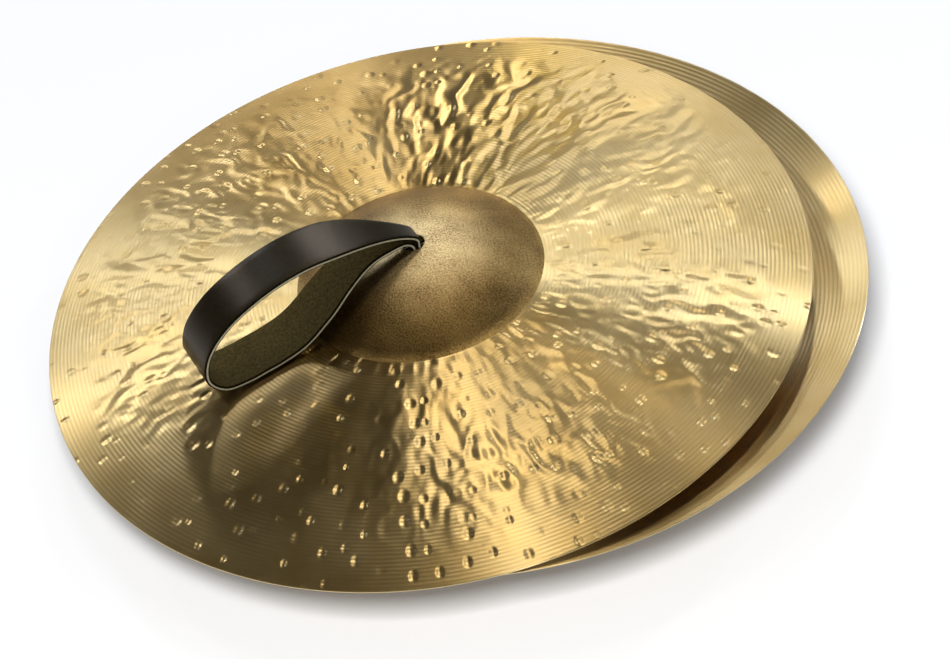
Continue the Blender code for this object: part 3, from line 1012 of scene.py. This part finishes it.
@dataclass
class Loop:
    """Hand loop of one strap: two layers rise out of the hole, part and meet again in the loop's far bend.

    The loop on the upper plate stands free, and that of the lower plate is folded flat between plate and table.
    """

    seat: Seat
    plate: PlateShape
    shape: StrapShape
    drift: float = 0.0
    drift_start: float = 0.030
    drift_length: float = 0.090
    standing_reach: float = 0.1450
    standing_rise: float = 0.0335
    standing_arch: float = 0.0092
    standing_clearance: float = 0.0004
    folded_reach: float = 0.1400
    folded_slack: float = 0.0048
    folded_clearance: float = 0.0011
    bend_end: tuple[float, float, float] = (0.006, 0.0, 0.006)

    def _lying(self, out: float, clearance: float) -> Vector:
        """Point of the middle line of a band that runs so far over the plate."""
        height = self.plate.outside(out) - self.plate.top
        return Vector((out, self.shape.thickness / 2 + self.shape.gap + clearance + height))

    def _standing_line(self) -> list[Vector]:
        """Draw the middle line of the loop that stands free, from one neck round to the other.

        Returns:
            Points that the line passes.
        """
        side, bottom = self.shape.root_radius, self.shape.neck_bottom
        reach, rise = self.standing_reach, self.standing_rise
        points = [Vector((side, bottom)), Vector((side, -0.0006)), Vector((side + 0.0008, 0.0024)),
                  Vector((0.0062, 0.0056))]
        # From here on, shares of the reach, and of the arch or the rise
        for out, share in ((0.10, 0.65), (0.21, 1.0), (0.33, 0.92), (0.45, 0.70), (0.57, 0.32)):
            points.append(self._lying(out * reach, share * self.standing_arch))
        for out in (0.69, 0.76, 0.83):
            points.append(self._lying(out * reach, self.standing_clearance))
        for out, share in ((0.94, 0.12), (1.0, 0.48)):
            points.append(self._lying(out * reach, share * rise))
        for out, share in ((0.98, 0.09), (0.877, 0.567), (0.71, 0.895), (0.527, 1.0), (0.337, 0.895),
                           (0.175, 0.663), (0.049, 0.373)):
            points.append(Vector((out * reach, share * rise)))
        return points + [Vector((-side + 0.0002, 0.0052)), Vector((-side, 0.0006)), Vector((-side, bottom))]

    def _folded_line(self) -> list[Vector]:
        """Draw the middle line of the loop that is squeezed flat, from one neck round to the other.

        Returns:
            Points that the line passes.
        """
        side, bottom = self.shape.root_radius, self.shape.neck_bottom
        reach, table = self.folded_reach, self.shape.on_table
        points = [Vector((side, bottom)), Vector((side, -0.0014)), Vector((side + 0.0012, 0.0008)),
                  Vector((0.0062, 0.0021))]
        # From here on, shares of the reach, and of the slack or the way from the plate to the table
        for out, share in ((0.115, 0.17), (0.23, 0.25), (0.357, 0.50), (0.486, 1.0), (0.614, 0.54)):
            points.append(self._lying(out * reach, share * self.folded_slack))
        for out in (0.72, 0.785, 0.85):
            points.append(self._lying(out * reach, self.folded_clearance))
        for out, share in ((0.95, 0.135), (1.0, 0.48), (0.98, 0.79)):
            lying = self._lying(out * reach, 0.0)
            points.append(lying.lerp(Vector((lying.x, table)), share))
        for out in (0.857, 0.679, 0.50, 0.321, 0.143, 0.060):
            points.append(Vector((out * reach, table)))
        return points + [Vector((0.0016, table - 0.0002)), Vector((-side + 0.0004, 0.0032)),
                         Vector((-side, 0.0004)), Vector((-side, bottom))]

    def build(self) -> Object:
        """Model the loop.

        Returns:
            The loop's object.
        """
        if self.seat.side is Side.UPPER:
            line = smooth_line(self._standing_line(), self.shape.steps)
        else:
            line = smooth_line(self._folded_line(), self.shape.steps)
            line = [Vector((place.x, min(place.y, self.shape.on_table))) for place in line]
        lengths = [0.0]
        for here, there in zip(line, line[1:]):
            lengths.append(lengths[-1] + (there - here).length)
        neck = self.shape.neck_width(self.plate.hole_radius)
        widths = []
        for length in lengths:
            run = max(0.0, min(length, lengths[-1] - length) + self.shape.neck_bottom)
            widths.append(neck + (self.shape.width - neck) * ease(run / self.shape.taper))
        shifts = [self.drift * ease((place.x - self.drift_start) / self.drift_length) for place in line]
        side = self.seat.side.value
        piece = Ribbon(f"{side}_strap", line, widths, shifts, self.shape.thickness).build()
        settle(piece, self.seat.strap)
        self.seat.body("knot")
        self.seat.body("loop")
        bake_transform(piece)
        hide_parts(f"{side}_strap_loop", f"{side}_strap_neck_1", f"{side}_strap_neck_2")
        LOG.info("%s: %d faces, %.0f mm of strap", piece.name, len(piece.data.polygons), lengths[-1] * 1000)
        return piece


@dataclass
class Knot:
    """Four tails of one strap, woven over each other inside the bell."""

    seat: Seat
    plate: PlateShape
    width: float = 0.0090
    thickness: float = 0.0026
    layer_gap: float = 0.0004
    gap: float = 0.0003
    centre_room: float = 0.0025
    fold_room: float = 0.0010
    ramp_inset: float = 0.0005
    reach: float = 0.053
    reach_shares: tuple[float, ...] = (0.945, 0.87, 1.0, 0.905)
    fold_steps: int = 10
    ramp_steps: int = 6
    wall_steps: int = 16
    columns: int = 3

    @property
    def side_step(self) -> float:
        """Distance of a tail's middle line from the knot's middle."""
        return self.centre_room + self.width / 2

    @property
    def fold_centre(self) -> float:
        """Distance from the knot's middle to where a tail folds back."""
        return self.centre_room + self.width + self.fold_room

    def _levels(self) -> tuple[float, float, float]:
        """Work out where the three layers lie.

        Returns:
            Heights of their middles, that of the one on the bell first.
        """
        pitch = self.thickness + self.layer_gap
        corner = math.hypot(self.fold_centre + (pitch + self.thickness) / 2, self.side_step + self.width / 2)
        first = self.plate.inside(corner) - self.plate.top - self.gap - self.thickness / 2
        return first, first - pitch, first - 2 * pitch

    def _wall_level(self, out: float) -> float:
        """Work out where a tail lies against the bell's wall.

        Args:
            out: distance from the knot's middle.

        Returns:
            Height of the tail's middle.
        """
        corner = math.hypot(out, self.side_step + self.width / 2)
        slope = math.hypot(1.0, self.plate.inside_slope(corner))
        return self.plate.inside(corner) - self.plate.top - (self.thickness / 2 + self.gap) * slope

    def _line(self, reach: float) -> list[Vector]:
        """Draw one tail in its side view: out, folded back, under one tail, over the next, outwards again.

        Args:
            reach: how far out it ends.

        Returns:
            Points of its middle line.
        """
        first, second, third = self._levels()
        fold = (first - second) / 2
        middle = (first + second) / 2
        line = [Vector((-self.gap, first))]
        for step in range(self.fold_steps + 1):
            turn = math.pi * step / self.fold_steps
            line.append(Vector((-self.fold_centre - fold * math.sin(turn), middle + fold * math.cos(turn))))
        ramp = self.centre_room - self.ramp_inset
        for step in range(self.ramp_steps + 1):
            share = step / self.ramp_steps
            line.append(Vector((ramp * (2 * share - 1), second + (third - second) * ease(share))))
        start = self.centre_room + self.width
        for step in range(self.wall_steps + 1):
            out = start + (reach - start) * step / self.wall_steps
            line.append(Vector((out, min(third, self._wall_level(out)))))
        return line

    def build(self) -> list[Object]:
        """Model the four tails, each turned a quarter from the one before.

        Returns:
            The tails' objects.
        """
        side = self.seat.side.value
        tails = []
        for index, share in enumerate(self.reach_shares):
            line = self._line(self.reach * share)
            shifts = [self.side_step] * len(line)
            name = f"{side}_tail_{index + 1}"
            widths = [self.width] * len(line)
            tail = Ribbon(name, line, widths, shifts, self.thickness, columns=self.columns).build()
            settle(tail, self.seat.strap @ Matrix.Rotation(-index * math.pi / 2, 4, "Z"))
            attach(tail, self.seat.body("knot"))
            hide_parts(f"{side}_knot_tail_{index + 1}")
            tails.append(tail)
        LOG.info("%s knot: %d tails", side, len(tails))
        return tails


# Tints of the lamps: the bright ones are a little cooler than the weak ones
PLAIN = "#FFFFFF"
MILD = "#DEE9FF"
COOL = "#C8DAFF"
WARM = "#FFF8B7"
LUMINANCE = (0.2126, 0.7152, 0.0722)


@dataclass(frozen=True)
class Softbox:
    """One lamp of the studio, aimed at the pair. Its radiance is that of its face, whatever its size."""

    name: str
    azimuth: float
    elevation: float
    radiance: float
    colour: str = PLAIN
    width: float = 0.16
    height: float = 0.30
    distance: float = 2.6
    target: tuple[float, float, float] = (0.0, 0.0, 0.08)

    def build(self, only: Sequence[Object] = ()) -> None:
        """Hang the lamp. Azimuth 0 is behind the pair, and positive to the right.

        Args:
            only: the objects that it lights, or none to light everything.
        """
        side, up = math.radians(self.azimuth), math.radians(self.elevation)
        away = Vector((math.sin(side) * math.cos(up), math.cos(side) * math.cos(up), math.sin(up)))
        data = bpy.data.lights.new(self.name, "AREA")
        data.shape = "RECTANGLE"
        data.size = self.width
        data.size_y = self.height
        tint = linear(self.colour)
        brightness = sum(weight * part for weight, part in zip(LUMINANCE, tint))
        data.color = tint[:3]
        data.energy = self.radiance / brightness * math.pi * self.width * self.height
        lamp = bpy.data.objects.new(self.name, data)
        bpy.context.scene.collection.objects.link(lamp)
        lamp.location = Vector(self.target) + away * self.distance
        lamp.rotation_euler = away.to_track_quat("Z", "Y").to_euler()
        if only:
            lit = bpy.data.collections.new(f"{self.name}_lights")
            for piece in only:
                lit.objects.link(piece)
            lamp.light_linking.receiver_collection = lit


@dataclass(frozen=True)
class Studio:
    """White floor and walls under a ceiling that metal mirrors dark, with small softboxes round the pair.

    Turned bronze drags each lamp's light out along two opposite radii, so each lamp lights its own sectors.
    """

    floor_size: float = 40.0
    floor_glow: float = 0.12
    floor_colour: str = "#959595"
    fill_level: float = 0.30
    ceiling_from: float = 0.03
    ceiling_to: float = 0.12
    ceiling_level: float = 0.03

    def build(self) -> None:
        """Lay the floor, hang the lamps and light the room."""
        floor = self._lay_floor()
        for lamp in (
            # Name, azimuth, elevation and radiance, and where they differ, tint, width and height
            Softbox("back", 8.0, 34.0, 68.0, MILD, 0.16, 0.16),
            Softbox("low_back", 8.0, 11.0, 27.0, WARM, 0.16, 0.16),
            Softbox("high_back", 0.0, 66.0, 18.5, PLAIN, 0.40, 0.30),
            Softbox("overhead", 0.0, 85.0, 27.0),
            Softbox("back_right", 20.0, 34.0, 9.0, COOL),
            Softbox("high_right", 20.0, 46.0, 33.0, MILD),
            Softbox("right", 60.0, 32.0, 54.0, COOL),
            Softbox("over_right", 60.0, 64.0, 21.0),
            Softbox("back_left", -20.0, 32.0, 30.0, COOL),
            Softbox("left", -38.0, 32.0, 43.0, MILD),
            Softbox("front", 172.0, 38.0, 24.0, PLAIN, 0.30, 0.30),
        ):
            lamp.build()
        Softbox("floor_lamp", -174.0, 52.0, 174.0, PLAIN, 1.2, 1.2, 5.2).build([floor])
        self._light_room()

    def _lay_floor(self) -> Object:
        """Lay a white floor, which the camera sees a little brighter than it is.

        Returns:
            The floor.
        """
        bpy.ops.object.select_all(action="DESELECT")
        bpy.ops.mesh.primitive_plane_add(size=self.floor_size, location=(0, 0, 0))
        floor = bpy.context.active_object
        floor.name = "studio_floor"
        material, tree, shader = new_finish("white_studio_paper")
        seen = add_node(tree, "LightPath").outputs["Is Camera Ray"]
        plug(tree, shader, {
            "Base Color": linear(self.floor_colour),
            "Roughness": 1.0,
            "Specular IOR Level": 0.0,
            "Emission Color": linear(PLAIN),
            "Emission Strength": add_node(tree, "Math", {0: seen, 1: self.floor_glow}, operation="MULTIPLY"),
        })
        floor.data.materials.append(material)
        return floor

    def _light_room(self) -> None:
        """Light the room: white to the camera, dark overhead to metal, and a soft fill for all else."""
        world = bpy.data.worlds.new("studio")
        bpy.context.scene.world = world
        world.cycles.sampling_method = "NONE"
        world.use_nodes = True
        tree = world.node_tree
        tree.nodes.clear()
        path = add_node(tree, "LightPath").outputs
        place = add_node(tree, "TexCoord").outputs["Generated"]
        split = add_node(tree, "SeparateXYZ", {"Vector": place})
        rise = add_node(tree, "MapRange", {
            "Value": split.outputs["Z"], "From Min": self.ceiling_from, "From Max": self.ceiling_to,
            "To Min": 1.0, "To Max": self.ceiling_level,
        }, interpolation_type="SMOOTHSTEP")
        seen = add_node(tree, "Math", {0: path["Is Camera Ray"], 1: path["Is Transmission Ray"]},
                        operation="MAXIMUM")
        glossy = add_node(tree, "Mix", {
            "Factor": path["Is Glossy Ray"], "A": self.fill_level, "B": rise,
        }, data_type="FLOAT")
        level = add_node(tree, "Mix", {"Factor": seen, "A": glossy, "B": 1.0}, data_type="FLOAT")
        light = add_node(tree, "Background", {"Color": linear(PLAIN), "Strength": level})
        add_node(tree, "OutputWorld", {"Surface": light})


@dataclass(frozen=True)
class View:
    """The camera, from the side of the viewer and well above the pair."""

    azimuth: float = 1.79
    elevation: float = 43.59
    roll: float = -9.68
    distance: float = 4.1085
    lens: float = 265.3
    sensor: float = 36.0
    target: tuple[float, float, float] = (0.0078, -0.0251, 0.0600)

    def build(self) -> None:
        """Set up the camera."""
        side, down = math.radians(self.azimuth), math.radians(self.elevation)
        ahead = Vector((math.sin(side) * math.cos(down), math.cos(side) * math.cos(down), -math.sin(down)))
        level = Vector((math.cos(side), -math.sin(side), 0.0))
        over = level.cross(ahead)
        turn = math.radians(self.roll)
        right = math.cos(turn) * level + math.sin(turn) * over
        up = math.cos(turn) * over - math.sin(turn) * level
        data = bpy.data.cameras.new("view")
        data.lens = self.lens
        data.sensor_width = self.sensor
        camera = bpy.data.objects.new("view", data)
        bpy.context.scene.collection.objects.link(camera)
        place = Matrix((right, up, -ahead)).transposed().to_4x4()
        place.translation = Vector(self.target) - ahead * self.distance
        camera.matrix_world = place
        bpy.context.scene.camera = camera


def main() -> None:
    """Build the pair, its studio and its view."""
    logging.basicConfig(level=logging.INFO, format="%(name)s: %(message)s")
    bpy.context.scene.view_settings.view_transform = "Standard"
    shape = PlateShape()
    strap = StrapShape()
    for side, seed, drift in ((Side.LOWER, 11, 0.0), (Side.UPPER, 4, 0.006)):
        seat = Seat.of(side, shape, strap.pivot_height)
        Plate(seat, shape, seed).build()
        Loop(seat, shape, strap, drift).build()
        Knot(seat, shape).build()
    View().build()
    Studio().build()


if __name__ == "__main__":
    main()
